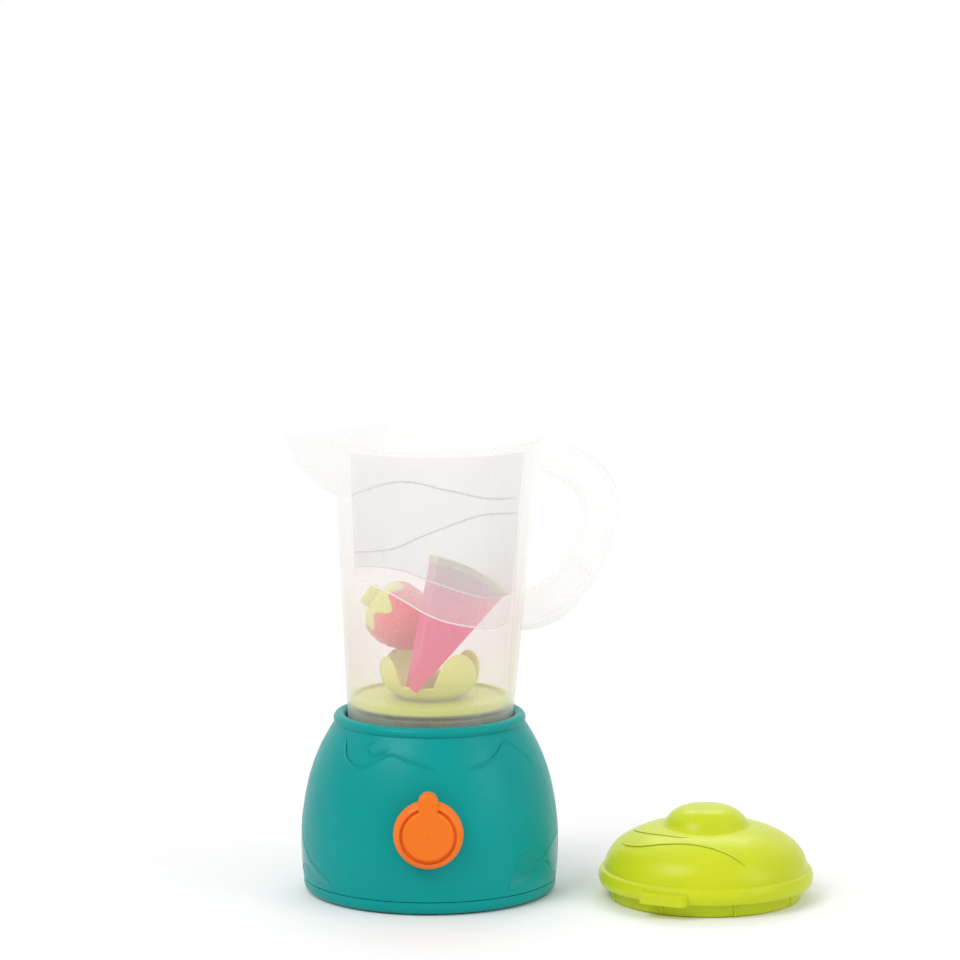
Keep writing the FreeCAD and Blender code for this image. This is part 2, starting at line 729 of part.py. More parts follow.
# The handle is one moulding with the jug. It has a node of its own so that its collision stays open.
handle = handle.cut(jug_cone(jug_foot_z, jug_rim_z, -touch_gap))
handle = handle.cut(rim_bead_ring(touch_gap))
handle = handle.common(block(0, far_out, -handle_w, handle_w, jug_foot_z, jug_rim_z))
save(handle.removeSplitter(), "jug_handle")
jug = jug_outer.fuse([spout_solid, rim_bead_ring(0)])
jug = jug.cut(jug_inner)
jug = jug.cut(spout_hollow)
jug = jug.cut(jug_under)
bell = ring(bell_r, bell_r - jug_wall, bell_bottom_z, jug_floor_z + overlap)
guide = ring(guide_r, stem_r + run_gap, coupler_top_z + loose_gap, jug_floor_z + overlap)
jug = jug.fuse([bell, guide])
jug = jug.cut(rod(stem_r + run_gap, through, V(0, 0, jug_floor_z - through / 2)))
jug = jug.common(block(-far_out, far_out, -far_out, far_out, jug_foot_z, jug_rim_z))
jug = jug.removeSplitter()
save(jug, "jug")

# Spinner disc with a stem that goes down through the jug floor into the coupler
disc_top_z = disc_z + disc_thick
disc = rod(disc_r, disc_thick, V(0, 0, disc_z))
disc_rim = ring(disc_r, disc_r - disc_rim_w, disc_top_z - overlap, disc_top_z + disc_lip)
stem_low_z = coupler_socket_z
stem = rod(stem_r, disc_z - stem_low_z + overlap, V(0, 0, stem_low_z))
disc = join(disc, [disc_rim, stem])
disc = disc.cut(rod(screw_pilot_r, screw_deep, V(0, 0, stem_low_z)))
save(disc, "spinner_disc")

# Coupler under the floor: a plate with blades that hang down beside the fins
coupler_plate_low = coupler_top_z - coupler_plate_h
coupler = rod(coupler_r, coupler_plate_h, V(0, 0, coupler_plate_low))
coupler_adds = [rod(coupler_hub_r, coupler_top_z - coupler_hub_z, V(0, 0, coupler_hub_z))]
blade_y = fin_half + loose_gap
blade_top_z = coupler_plate_low + overlap
for i in range(fin_count):
    blade = block(blade_in_r, coupler_r - 1.0, blade_y, blade_y + fin_thick, coupler_bottom_z, blade_top_z)
    coupler_adds.append(turn(blade, fin_turn + i * fin_step))
coupler = join(coupler, coupler_adds)
coupler = coupler.cut(rod(stem_r, through, V(0, 0, coupler_socket_z)))
coupler = coupler.cut(rod(screw_r + loose_gap, through, V(0, 0, coupler_hub_z - 1)))
save(coupler, "spinner_coupler")

# Cup of four petals: a bulging cup, cut into petals of two heights with rounded tips
cup_z = disc_top_z
cup_base_z = cup_z + cup_flange_thick
cup_out = [(18.6, cup_base_z), (21.8, cup_base_z + 4.5), (cup_bulge_r, cup_base_z + 11.0)]
cup_out += [(22.6, cup_base_z + 19.0), (20.4, cup_base_z + petal_high + 1.0)]
cup_in = [(r - petal_wall, z) for r, z in cup_out]
cup_edges = curve(cup_out) + curve(cup_in)
cup_edges += [line(cup_out[0], cup_in[0]), line(cup_out[-1], cup_in[-1])]
cup_wall = turned(cup_edges)


def petal(angle, high):
    top = cup_base_z + high
    side = [(petal_foot_half, cup_base_z - 1), (petal_half, cup_base_z + high * 0.4)]
    side += [(petal_half * 0.82, top - high * 0.24), (petal_half * 0.46, top - high * 0.065), (0, top)]
    left = [(-x, z) for x, z in side]
    edges = curve(side) + curve(left) + [line(side[0], left[0])]
    face = Part.Face(Part.Wire(Part.__sortEdges__(edges)))
    cutter = face.extrude(V(0, 40, 0))
    return turn(cup_wall.common(cutter), angle - 90)


petals = [petal(-50, petal_high), petal(130, petal_low), petal(28, petal_low), petal(204, petal_low)]
dome_top_z = cup_base_z + hub_dome_h
dome_side = [(hub_dome_r, cup_z), (hub_dome_r - 0.8, cup_base_z + 7.6), (2.4, dome_top_z - 0.3)]
dome_edges = curve(dome_side) + lines([dome_side[-1], (0, dome_top_z), (0, cup_z), dome_side[0]])
hub_dome = turned(dome_edges)
cup = rod(cup_flange_r, cup_flange_thick, V(0, 0, cup_z)).fuse([hub_dome] + petals)
cup = cup.removeSplitter()
save(cup, "blade_cup")

# Screw that holds the coupler on the stem
save(pan_screw(coupler_screw_length, V(0, 0, coupler_hub_z - screw_head_h), UP), "coupler_screw")

# Strawberry: a hollow berry turned about its own axis, with a leafy cap plugged in the wide end
berry_outer = [(0, -21.0), (4.2, -19.6), (7.6, -16.6), (13.0, -7.6)]
berry_outer += [(15.8, 1.0), (15.6, 9.4), (7.0, 15.6)]
berry_inner = [(0, -18.6), (3.0, -17.6), (5.6, -15.2), (10.9, -6.6)]
berry_inner += [(13.4, 1.0), (13.3, 8.2), (7.0, 13.2)]
berry_edges = curve(berry_outer) + curve(berry_inner)
berry_edges += [line(berry_outer[0], berry_inner[0]), line(berry_outer[-1], berry_inner[-1])]
berry = turned(berry_edges)
leaf = rod(leaf_r - 1.4, leaf_thick, V(0, 0, leaf_z))
lobe_ring_r = leaf_r - lobe_r + 1.6
lobes = []
for i in range(leaf_count):
    lobes.append(rod(lobe_r, leaf_thick, around(lobe_ring_r, i * 360.0 / leaf_count, leaf_z)))
leaf = join(leaf, lobes)
plug = rod(plug_r, plug_h, V(0, 0, leaf_z + overlap - plug_h))
stalk = Part.makeCone(stalk_r, stalk_tip_r, stalk_h, V(0, 0, leaf_z + leaf_thick - overlap))
leaf = join(leaf, [plug, stalk])
berry_turn = FreeCAD.Rotation(UP, berry_swing).multiply(FreeCAD.Rotation(Y_AXIS, berry_lean))
berry_place = FreeCAD.Placement(V(berry_x, berry_y, disc_top_z + berry_rise), berry_turn)
berry.Placement = berry_place
leaf.Placement = berry_place
save(berry, "strawberry_body")
save(leaf, "strawberry_leaf")

# Melon slice: a flat wedge standing on its point, with a rind clipped along the curved end
flesh_r = slice_r - rind_thick


def fan_points(r, low, high):
    angles = [math.radians(a) for a in (low, (low + high) / 2, high)]
    return [V(r * math.cos(a), 0, r * math.sin(a)) for a in angles]


def wedge(r0, r1, thick, low, high):
    inner = fan_points(r0, low, high)
    outer = fan_points(r1, low, high)
    edges = [Part.Arc(*outer).toShape(), Part.Arc(*inner).toShape()]
    edges += [Part.makeLine(outer[0], inner[0]), Part.makeLine(outer[2], inner[2])]
    face = Part.Face(Part.Wire(Part.__sortEdges__(edges)))
    face.translate(V(0, -thick / 2, 0))
    return face.extrude(V(0, thick, 0))


flesh = wedge(slice_tip_r, flesh_r, slice_thick, slice_low, slice_high)
rind_thickness = slice_thick + 2 * rind_proud
rind = wedge(flesh_r, slice_r, rind_thickness, slice_low - rind_proud, slice_high + rind_proud)
slice_at = V(slice_x, slice_y, disc_top_z + slice_rise)
slice_place = FreeCAD.Placement(slice_at, FreeCAD.Rotation(UP, slice_turn))
flesh.Placement = slice_place
rind.Placement = slice_place
save(flesh, "melon_flesh")
save(rind, "melon_rind")

# Lid lying on the table beside the base, right way up: dome, flat knob, band and plug skirt
lid_out = [(lid_band_r - 2.6, lid_band_top), (46.0, 19.8), (41.6, 25.4), (33.6, 30.2), (20.6, 33.8)]
skirt_in_r = lid_skirt_r - lid_wall
lid_in = [(skirt_in_r, lid_band_top - 2.2), (43.2, 18.2), (39.6, 23.0), (32.4, 27.8), (18.4, 31.6)]
knob_out = [(knob_r, 35.2), (15.9, 39.5), (8.6, 42.5)]
knob_in = [(knob_r - 1.4, 34.4), (14.3, 38.0), (7.6, 40.5)]
band_edge_r = lid_band_r - lid_edge
band_edge_z = lid_band_top - 0.8
band_low = (band_edge_r, lid_skirt_h)
band_high = (band_edge_r, band_edge_z)
lid_edges = curve(lid_out) + curve(lid_in) + curve(knob_out) + curve(knob_in)
lid_edges += [line(lid_out[-1], knob_out[0]), line(lid_in[-1], knob_in[0])]
lid_edges += lines([knob_out[-1], (0, knob_top_z), (0, knob_top_z - lid_wall), knob_in[-1]])
lid_edges += lines([lid_in[0], (skirt_in_r, 0), (lid_skirt_r, 0), (lid_skirt_r, lid_skirt_h), band_low])
lid_edges += [arc(band_low, (lid_band_r, lid_skirt_h + 3.4), band_high), line(band_high, lid_out[0])]
lid = turned(lid_edges)
skirt_ribs = []
for i in range(skirt_rib_count):
    angle = skirt_rib_first + i * 360.0 / skirt_rib_count
    skirt_ribs.append(rod(skirt_rib_r, lid_skirt_h, around(lid_skirt_r, angle)))
tab_half = lid_tab_w / 2
lid_tab_top = lid_skirt_h + lid_tab_h
lid_tab = block(lid_band_r - 4.0, lid_tab_reach, -tab_half, tab_half, lid_skirt_h, lid_tab_top)
upright_edges = [e for e in lid_tab.Edges if e.BoundBox.ZLength > lid_tab_h - 0.1]
corner = [e for e in upright_edges if e.BoundBox.XMin > lid_band_r]
lid_tab = lid_tab.makeFillet(lid_tab_round, corner)
lid_tab = turn(lid_tab, lid_tab_angle)
lid = join(lid, skirt_ribs + [lid_tab])
lid.translate(V(lid_x, lid_y, 0))
save(lid, "lid")
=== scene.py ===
# %% [markdown]
# # Dressing a toy blender
# This lesson takes a plain, exact frame of a play-kitchen blender and gives every piece the finish
# of moulded toy plastic. We start by loading the frame and keeping its size, because the dressed
# model has to stay inside it.

# %% Load the frame
import json
import math

import bmesh
import bpy
from mathutils import Matrix, Vector, kdtree


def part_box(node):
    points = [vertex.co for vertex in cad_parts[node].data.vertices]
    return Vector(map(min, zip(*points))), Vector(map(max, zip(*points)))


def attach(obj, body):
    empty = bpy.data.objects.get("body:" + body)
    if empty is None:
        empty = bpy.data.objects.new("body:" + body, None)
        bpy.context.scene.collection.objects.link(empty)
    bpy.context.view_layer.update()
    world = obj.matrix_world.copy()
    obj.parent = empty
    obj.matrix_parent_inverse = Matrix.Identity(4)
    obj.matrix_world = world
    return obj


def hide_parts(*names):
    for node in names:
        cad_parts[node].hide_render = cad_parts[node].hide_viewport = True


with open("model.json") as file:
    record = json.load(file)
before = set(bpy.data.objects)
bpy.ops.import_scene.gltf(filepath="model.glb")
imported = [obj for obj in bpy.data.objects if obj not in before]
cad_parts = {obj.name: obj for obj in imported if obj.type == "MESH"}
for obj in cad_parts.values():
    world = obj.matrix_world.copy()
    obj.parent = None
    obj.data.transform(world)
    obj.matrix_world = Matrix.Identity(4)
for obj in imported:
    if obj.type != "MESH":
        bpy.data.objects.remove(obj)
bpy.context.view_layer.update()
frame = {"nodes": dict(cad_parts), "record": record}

nodes = frame["nodes"]
scene = bpy.context.scene
print("pieces in the frame:", len(nodes))

# %% [markdown]
# ## Smooth shading
# A moulded shell is smooth all over but has crisp edges where two faces meet. Its mesh could be
# subdivided until it looks round, but that would change the frame. Faces are shaded smooth instead,
# and edges sharper than a chosen angle are kept sharp, which only changes how light reads the shape.

# %% Shade the frame smoothly
crease_angle = math.radians(32)


def shade_smooth(piece, angle=crease_angle):
    mesh = piece.data
    mesh.polygons.foreach_set("use_smooth", [True] * len(mesh.polygons))
    work = bmesh.new()
    work.from_mesh(mesh)
    for edge in work.edges:
        if len(edge.link_faces) == 2:
            edge.smooth = edge.calc_face_angle() < angle
    work.to_mesh(mesh)
    work.free()


for piece in nodes.values():
    shade_smooth(piece)
print("edges kept sharp above", round(math.degrees(crease_angle)), "degrees")

# %% [markdown]
# ## Moulded plastic
# Toy plastic is one colour all through, with a faint orange-peel in its skin and tiny differences in
# gloss where hands and packing have rubbed it. One flat colour would look like paper, and an image
# would need unwrapping. A noise texture needs neither: it drives a very low bump and a small change of
# roughness, and gives the colour a slight, slow drift so that large faces aren't flat.

# %% Helpers for node materials


def new_material(name):
    material = bpy.data.materials.new(name)
    material.use_nodes = True
    tree = material.node_tree
    shader = tree.nodes["Principled BSDF"]
    return material, tree, shader


def add(tree, kind, **values):
    node = tree.nodes.new(kind)
    for key, value in values.items():
        setattr(node, key, value)
    return node


def link(tree, out, into):
    tree.links.new(out, into)


def noise_of(tree, scale, detail=3.0):
    place = add(tree, "ShaderNodeTexCoord")
    texture = add(tree, "ShaderNodeTexNoise")
    texture.inputs["Scale"].default_value = scale
    texture.inputs["Detail"].default_value = detail
    link(tree, place.outputs["Object"], texture.inputs["Vector"])
    return texture.outputs["Fac"]


def spread(tree, value, low, high, start=0.3, end=0.7):
    ramp = add(tree, "ShaderNodeMapRange")
    ramp.inputs["From Min"].default_value = start
    ramp.inputs["From Max"].default_value = end
    ramp.inputs["To Min"].default_value = low
    ramp.inputs["To Max"].default_value = high
    link(tree, value, ramp.inputs["Value"])
    return ramp.outputs["Result"]


def tint(tree, value, dark, light):
    mix = add(tree, "ShaderNodeMix", data_type="RGBA")
    mix.inputs[6].default_value = (*dark, 1)
    mix.inputs[7].default_value = (*light, 1)
    link(tree, value, mix.inputs[0])
    return mix.outputs[2]


def scaled(color, factor):
    return tuple(min(1.0, c * factor) for c in color)


print("helpers for node materials are ready")

# %% Moulded plastic
drift_scale = 22.0       # noise cells per metre of the slow change of colour
rub_scale = 180.0        # of the rubbed patches
skin_scale = 900.0       # of the orange-peel
skin_depth = 0.0004
rub_less = 0.05          # how far the roughness falls and rises with the rubbing
rub_more = 0.06
plastic_ior = 1.48
glow_radius = (0.004, 0.004, 0.002)


def moulded(name, color, gloss, skin=0.05, drift=0.04, glow=0.0, shine=0.25):
    material, tree, shader = new_material(name)
    slow = spread(tree, noise_of(tree, drift_scale, 2.0), 0.0, 1.0)
    link(tree, tint(tree, slow, scaled(color, 1 - drift), scaled(color, 1 + drift)),
         shader.inputs["Base Color"])
    rub = spread(tree, noise_of(tree, rub_scale, 4.0), gloss - rub_less, gloss + rub_more)
    link(tree, rub, shader.inputs["Roughness"])
    bump = add(tree, "ShaderNodeBump")
    bump.inputs["Strength"].default_value = skin
    bump.inputs["Distance"].default_value = skin_depth
    link(tree, noise_of(tree, skin_scale, 2.0), bump.inputs["Height"])
    link(tree, bump.outputs["Normal"], shader.inputs["Normal"])
    shader.inputs["IOR"].default_value = plastic_ior
    shader.inputs["Specular IOR Level"].default_value = shine
    if glow:
        shader.inputs["Subsurface Weight"].default_value = glow
        shader.inputs["Subsurface Radius"].default_value = glow_radius
        shader.inputs["Subsurface Scale"].default_value = 0.5
    return material


print("orange-peel depth:", skin_depth, "m")

# %% Colours of the toy
teal = (0.0, 0.325, 0.310)
lime = (0.66, 0.70, 0.075)
lime_light = (0.74, 0.78, 0.13)
lid_green = (0.60, 0.68, 0.010)
orange = (0.98, 0.20, 0.010)
berry_red = (0.86, 0.006, 0.018)
leaf_green = (0.72, 0.74, 0.07)
melon_pink = (0.84, 0.022, 0.19)
rind_green = (0.72, 0.78, 0.12)
milk_white = (0.85, 0.85, 0.82)
steel_grey = (0.55, 0.55, 0.56)

finish = {
    "lime": moulded("lime_plastic", lime, 0.34),
    "lime_light": moulded("lime_petal_plastic", lime_light, 0.36, glow=0.1),
    "orange": moulded("orange_plastic", orange, 0.33, glow=0.06),
    "leaf": moulded("leaf_plastic", leaf_green, 0.38),
    "berry": moulded("berry_plastic", berry_red, 0.22, shine=0.4),
    "melon": moulded("melon_plastic", melon_pink, 0.34, shine=0.3),
    "rind": moulded("rind_plastic", rind_green, 0.36),
    "white": moulded("milk_white_plastic", milk_white, 0.5),
    "lid": moulded("lid_plastic", lid_green, 0.30, glow=0.08, shine=0.3),
    "base": moulded("teal_plastic", teal, 0.34, shine=0.16),
    "base_gloss": moulded("teal_gloss", scaled(teal, 0.93), 0.16, skin=0.0, shine=0.3),
}
print("plastics:", sorted(finish))

# %% [markdown]
# ## Steel for screws and shafts
# Screws and shafts are bright steel with fine turning marks. The marks could be cut as grooves, but
# they are far too fine to see as shape, so a close noise changes the colour and the roughness.

# %% Steel
marks_scale = 600.0


def turned_steel():
    material, tree, shader = new_material("turned_steel")
    shader.inputs["Metallic"].default_value = 1.0
    marks = noise_of(tree, marks_scale, 5.0)
    link(tree, tint(tree, marks, scaled(steel_grey, 0.85), scaled(steel_grey, 1.15)),
         shader.inputs["Base Color"])
    link(tree, spread(tree, marks, 0.25, 0.42), shader.inputs["Roughness"])
    return material


finish["steel"] = turned_steel()
print("metal:", finish["steel"].name)

# %% [markdown]
# ## Frosted jug
# The jug is thin natural plastic. It lets most light through and spreads a little of it, so what is
# inside looks milky. Real refraction in a wall this thin would only add noise, so the wall is part
# see-through and part white, and gets more white where it is looked at along its surface.

# %% Frosted plastic
frost_white = (0.955, 0.945, 0.94)
frost_scale = 400.0
frost_ior = 1.45
let_through = 0.25       # share of the haze that the lamps' light meets
passed_on = 0.45         # share of the haze that is light from behind


def frosted(name, low, high, blend=0.28):
    """Haze from low, seen straight on, to high, seen along the wall."""
    material, tree, shader = new_material(name)
    shader.inputs["Base Color"].default_value = (*frost_white, 1)
    link(tree, spread(tree, noise_of(tree, frost_scale), 0.26, 0.34), shader.inputs["Roughness"])
    shader.inputs["IOR"].default_value = frost_ior
    edge = add(tree, "ShaderNodeLayerWeight")
    edge.inputs["Blend"].default_value = blend
    haze = spread(tree, edge.outputs["Facing"], low, high, 0.0, 1.0)
    rays = add(tree, "ShaderNodeLightPath")
    lighter = spread(tree, rays.outputs["Is Shadow Ray"], 1.0, let_through, 0.0, 1.0)
    share = add(tree, "ShaderNodeMath", operation="MULTIPLY")
    link(tree, haze, share.inputs[0])
    link(tree, lighter, share.inputs[1])
    pass_on = add(tree, "ShaderNodeBsdfTranslucent")
    pass_on.inputs["Color"].default_value = (*frost_white, 1)
    body = add(tree, "ShaderNodeMixShader")
    body.inputs[0].default_value = passed_on
    link(tree, shader.outputs[0], body.inputs[1])
    link(tree, pass_on.outputs[0], body.inputs[2])
    clear = add(tree, "ShaderNodeBsdfTransparent")
    whole = add(tree, "ShaderNodeMixShader")
    link(tree, share.outputs[0], whole.inputs[0])
    link(tree, clear.outputs[0], whole.inputs[1])
    link(tree, body.outputs[0], whole.inputs[2])
    link(tree, whole.outputs[0], tree.nodes["Material Output"].inputs["Surface"])
    return material


finish["jug"] = frosted("frosted_plastic", 0.20, 0.72)
finish["skin"] = frosted("frosted_skin", 0.16, 0.45)
finish["skin_line"] = frosted("frosted_line", 0.5, 0.8)
finish["thick_jug"] = frosted("frosted_handle", 0.34, 0.85)
print("frosted finishes: jug, skin, skin_line, thick_jug")

# %% [markdown]
# ## A finish for every piece of the frame
# Each piece of the toy is moulded in one colour, and the frame says which slot each piece belongs to.
# The finishes could be given by hand, but going by the slots leaves no piece out. The handle is thicker
# than the jug's wall, so it gets a milkier finish of its own.

# %% Give each frame node its finish
slots = {part["node"]: part["material_slot"] for part in frame["record"]["subparts"]}
for name, piece in nodes.items():
    piece.data.materials.clear()
    piece.data.materials.append(finish[slots[name]])
nodes["jug_handle"].data.materials[0] = finish["thick_jug"]
print("nodes finished:", len(slots))

# %% [markdown]
# ## Building pieces of our own
# Forms that the frame leaves plain, such as dimples and moulded waves, are added as real geometry. They
# could be painted on as a bump, but a bump has no outline. Each piece is a grid of points that closes on
# itself, so that light has no stray face to catch on, and it rides on the body that carries the real one.

# %% Make a piece from points
MM = 0.001


def make_piece(name, points, faces, look, body):
    mesh = bpy.data.meshes.new(name)
    mesh.from_pydata(points, [], faces)
    work = bmesh.new()
    work.from_mesh(mesh)
    bmesh.ops.recalc_face_normals(work, faces=work.faces)
    work.to_mesh(mesh)
    work.free()
    piece = bpy.data.objects.new(name, mesh)
    scene.collection.objects.link(piece)
    mesh.materials.append(finish[look])
    shade_smooth(piece)
    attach(piece, body)
    return piece


def grid_faces(rows, columns, rows_close, columns_close):
    faces = []
    for row in range(rows if rows_close else rows - 1):
        for column in range(columns if columns_close else columns - 1):
            up = (row + 1) % rows
            side = (column + 1) % columns
            faces.append((row * columns + column, row * columns + side, up * columns + side,
                          up * columns + column))
    return faces


print("pieces of our own are drawn in millimetres and kept in metres, so times", MM)

# %% [markdown]
# ## Soft lines
# A mould maker draws a wave through a few chosen points. A curve object could do it, but the points are
# needed as numbers to lay things on a wall, so the soft line is worked out here. Outlines made of arcs
# are worked out as well, because the frame's shells are drawn that way.

# %% Lines through chosen points


def smooth_path(spots, steps):
    """A soft line that passes through every spot, with steps short pieces between each two."""
    ends = [spots[0]] + list(spots) + [spots[-1]]
    path = []
    for i in range(1, len(ends) - 2):
        before, here, there, after = [Vector(p) for p in ends[i - 1:i + 3]]
        for step in range(steps):
            t = step / steps
            bend = here * 2 + (there - before) * t
            bend += (before * 2 - here * 5 + there * 4 - after) * t * t
            bend += (here * 3 - before - there * 3 + after) * t * t * t
            path.append(bend / 2)
    path.append(Vector(spots[-1]))
    return path


def round_at(outline, level):
    """The other coordinate of an outline made of arcs through every three points."""
    for i in range(0, len(outline) - 2, 2):
        (x0, y0), (x1, y1), (x2, y2) = outline[i:i + 3]
        if min(x0, x2) <= level <= max(x0, x2) or i == len(outline) - 3:
            break
    a, b = x1 - x0, y1 - y0
    c, d = x2 - x0, y2 - y0
    e, f = (a * a + b * b) / 2, (c * c + d * d) / 2
    turn_over = a * d - b * c
    if abs(turn_over) < 1e-9:
        return y0 + (y2 - y0) * (level - x0) / (x2 - x0)
    mid_x = x0 + (d * e - b * f) / turn_over
    mid_y = y0 + (a * f - c * e) / turn_over
    size = math.hypot(x0 - mid_x, y0 - mid_y)
    reach = math.sqrt(max(size * size - (level - mid_x) ** 2, 0))
    return mid_y + (reach if y1 > mid_y else -reach)


print("halfway up a quarter circle:", round(round_at([(0, 1), (0.5 ** 0.5, 0.5 ** 0.5), (1, 0)], 0.5), 3))

# %% [markdown]
# ## Low ridges
# A moulded wave line is a low, rounded ridge. It could be a tube half sunk in the wall, but a tube is too
# tall for its width. A flat section is swept along the line instead and gets thin at both ends.

# %% A ridge on a surface
path_steps = 14          # short pieces between two chosen points
taper_start = 0.25       # size at the ends, as a share of the full ridge
taper_steps = 10
ridge_shape = [(-0.5, -0.15), (-0.36, 0.45), (-0.16, 0.9), (0.16, 0.9), (0.36, 0.45), (0.5, -0.15)]


def lay_ridge(name, spots, surface, width, height, look, body):
    """A low rounded ridge along a line on a surface. Spots are in the surface's own two measures."""
    path = smooth_path([(*spot, 0) for spot in spots], path_steps)
    points = []
    for i, spot in enumerate(path):
        way = path[min(i + 1, len(path) - 1)] - path[max(i - 1, 0)]
        along = surface(*(spot + way * 0.5).xy, 0) - surface(*(spot - way * 0.5).xy, 0)
        here = surface(*spot.xy, 0)
        out = (surface(*spot.xy, 1) - here).normalized()
        across = along.cross(out).normalized()
        taper = min(1.0, taper_start + min(i, len(path) - 1 - i) / taper_steps)
        for side, up in ridge_shape:
            points.append(here + across * side * width * taper + out * up * height * taper)
    sides = len(ridge_shape)
    faces = grid_faces(len(path), sides, False, True)
    faces.append(tuple(range(sides)))
    faces.append(tuple(range(len(points) - sides, len(points))))
    return make_piece(name, [p * MM for p in points], faces, look, body)


print("points round a ridge:", len(ridge_shape))

# %% [markdown]
# ## Waves moulded in the jug
# The jug's front has soft wave lines where one skin of plastic steps over the next. The skins above the
# lines are thicker, so they look hazier. The haze could be painted with a mask, but real skins also catch
# light on their edges. Each skin is a thin closed sheet on the cone, and the loose lines are low ridges.

# %% The jug's wall as a surface
jug_foot_z = 69.1
jug_foot_r = 37.8
jug_rim_r = 48.2
jug_rim_shift = 3.7
jug_rim_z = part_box("jug")[1][2] / MM


def jug_wall(angle, z, out):
    share = (z - jug_foot_z) / (jug_rim_z - jug_foot_z)
    r = jug_foot_r + (jug_rim_r - jug_foot_r) * share + out
    turn = math.radians(angle)
    return Vector((jug_rim_shift * share + r * math.cos(turn), r * math.sin(turn), z))


print("jug rim height:", round(jug_rim_z, 1), "mm")

# %% The wave lines, each point an angle round the jug and a height
high_wave = [(-154, 189), (-132, 195), (-108, 200), (-82, 196), (-59, 191.5), (-35, 190)]
swell_wave = [(-150, 164), (-130, 166), (-112, 169), (-96, 175), (-74, 181.5), (-58, 184), (-34, 182.5)]
long_wave = [(-146, 157), (-126, 159), (-108, 158), (-93, 154), (-71, 148), (-54, 144.5), (-30, 144.5)]
low_wave = [(-146, 152), (-124, 149), (-108, 144), (-96, 139), (-82, 134.5), (-62, 131), (-48, 129.5)]
low_wave += [(-33, 131)]
edge_line = [(-34, 181), (-30, 150), (-27, 120), (-24, 93)]
print("points in the long wave:", len(long_wave))

# %% Skins between the waves
skin_top_z = 211.5
skin_back = 0.02         # the back of a skin, just off the wall


def wall_skin(name, wave, thick):
    """A thin sheet on the wall from a wave line up to just under the rim, with a rounded step."""
    edge = smooth_path([(*spot, 0) for spot in wave], path_steps)
    rows = [(0.0, skin_back), (0.0, thick * 0.6), (0.12, thick * 0.9), (0.35, thick)]
    shares = [0.1, 0.25, 0.4, 0.55, 0.7, 0.85, 1.0]
    points = []
    for lift, out in rows:
        points += [jug_wall(s.x, s.y + lift, out) for s in edge]
    for share in shares:
        points += [jug_wall(s.x, s.y + (skin_top_z - s.y) * share, thick) for s in edge]
    for share in reversed(shares):
        points += [jug_wall(s.x, s.y + (skin_top_z - s.y) * share, skin_back) for s in edge]
    rows_in_all = len(rows) + 2 * len(shares)
    faces = grid_faces(rows_in_all, len(edge), True, False)
    for column in (0, len(edge) - 1):
        faces.append(tuple(row * len(edge) + column for row in range(rows_in_all)))
    return make_piece(name, [p * MM for p in points], faces, "skin", "jug")


wall_skin("jug_skin_long", long_wave, 0.30)
wall_skin("jug_skin_low", low_wave, 0.18)
print("top of the skins:", skin_top_z, "mm")

# %% Ridges along the waves
jug_ridges = [("jug_wave_high", high_wave, 0.9, 0.4, "skin_line"),
              ("jug_wave_swell", swell_wave, 0.9, 0.45, "skin_line"),
              ("jug_wave_long", long_wave, 0.8, 0.5, "skin_line"),
              ("jug_wave_low", low_wave, 0.8, 0.45, "skin_line"),
              ("jug_edge_line", edge_line, 0.8, 0.3, "skin")]
for name, spots, width, height, look in jug_ridges:
    lay_ridge(name, spots, jug_wall, width, height, look, "jug")
print("ridges on the jug:", len(jug_ridges))

# %% [markdown]
# ## Waves on the base and the lid
# The base has glossy swells of its own colour near its foot and under the collar, and the lid has soft
# lines round its dome. Both are common moulded waves. A change of gloss alone would vanish when the light
# moves, so they are laid as low ridges and shallow shapes.

# %% The base's and the lid's surfaces
shell_outline = [(6.35, 59.5), (22.0, 60.6), (48.0, 58.0), (63.6, 53.4), (80.1, 44.6)]
lid_middle = Vector((129.6, -16.8, 0))
dome_outline = [(47.7, 14.0), (46.0, 19.8), (41.6, 25.4), (33.6, 30.2), (20.6, 33.8)]


def base_wall(angle, z, out):
    r = round_at(shell_outline, z) + out
    turn = math.radians(angle)
    return Vector((r * math.cos(turn), r * math.sin(turn), z))


def lid_dome(angle, r, out):
    turn = math.radians(angle)
    z = round_at(dome_outline, r) + out
    return lid_middle + Vector((r * math.cos(turn), r * math.sin(turn), z))


print("base radius at its widest:", round(base_wall(0, 22.0, 0).x, 1), "mm")

# %% Swells and curls on the base
swell_thick = 0.16
swell_edge = -0.1        # how far a swell's edge sinks into the wall
curl_width = 3.2
curl_height = 0.09


def base_swell(name, low_wave_line, high_wave_line, thick):
    """A shallow shape between two wave lines, of the base's own colour and a little glossier."""
    low = smooth_path([(*spot, 0) for spot in low_wave_line], 12)
    high = smooth_path([(*spot, 0) for spot in high_wave_line], 12)
    count = min(len(low), len(high))
    outs = [swell_edge, thick * 0.7, thick, thick, thick, thick * 0.7, swell_edge]
    shares = [0.0, 0.0, 0.06, 0.5, 0.94, 1.0, 1.0]
    points = []
    for out, share in zip(outs, shares):
        for a, b in zip(low[:count], high[:count]):
            spot = a.lerp(b, share)
            points.append(base_wall(spot.x, spot.y, out))
    faces = grid_faces(len(outs), count, True, False)
    for column in (0, count - 1):
        faces.append(tuple(row * count + column for row in range(len(outs))))
    return make_piece(name, [p * MM for p in points], faces, "base_gloss", "base")


